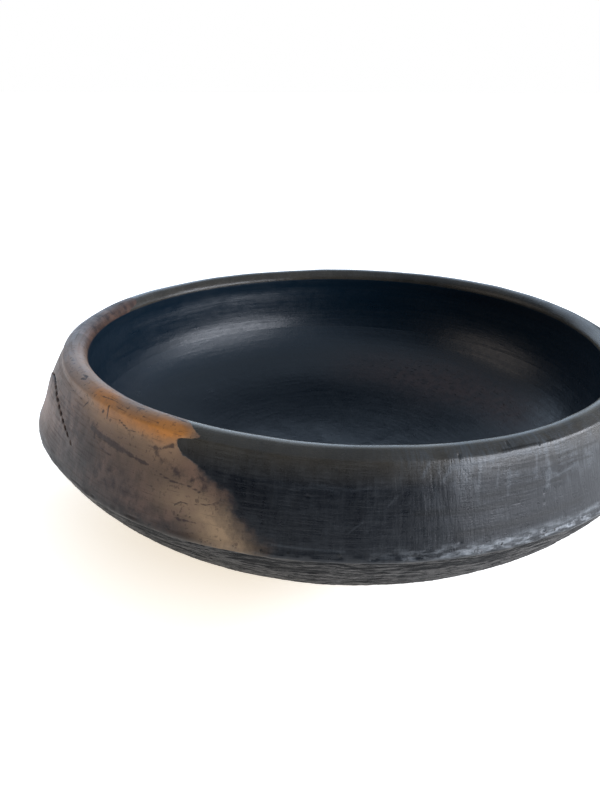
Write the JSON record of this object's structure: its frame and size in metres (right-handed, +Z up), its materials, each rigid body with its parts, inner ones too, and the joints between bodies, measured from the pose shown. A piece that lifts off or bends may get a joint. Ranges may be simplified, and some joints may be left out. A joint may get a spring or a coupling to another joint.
{
  "type": "clay bowl",
  "caption": "Wide shallow burnished black clay bowl with an incurving wall, sharp shoulder, rounded lip, scraped underside and broad side lugs, for serving and cooking.",
  "frame": {"origin": "centre of the flat resting face under the bowl", "axes": "+Z up out of the mouth; +X towards the right lug, so the two lugs stand on the X axis; +Y completes the right-handed frame"},
  "size_m": [0.3062, 0.2994, 0.084],
  "materials": {
    "burnished_clay": "smoke-blackened, stone-burnished, satin sheen, with an orange fire cloud",
    "scraped_clay": "matte, scraped with level striations"
  },
  "bodies": {
    "root": {"lower_bowl": "scraped_clay", "wall_band": "burnished_clay", "rim_coil": "burnished_clay", "lug_left": "burnished_clay", "lug_right": "burnished_clay"}
  },
  "joints": []
}
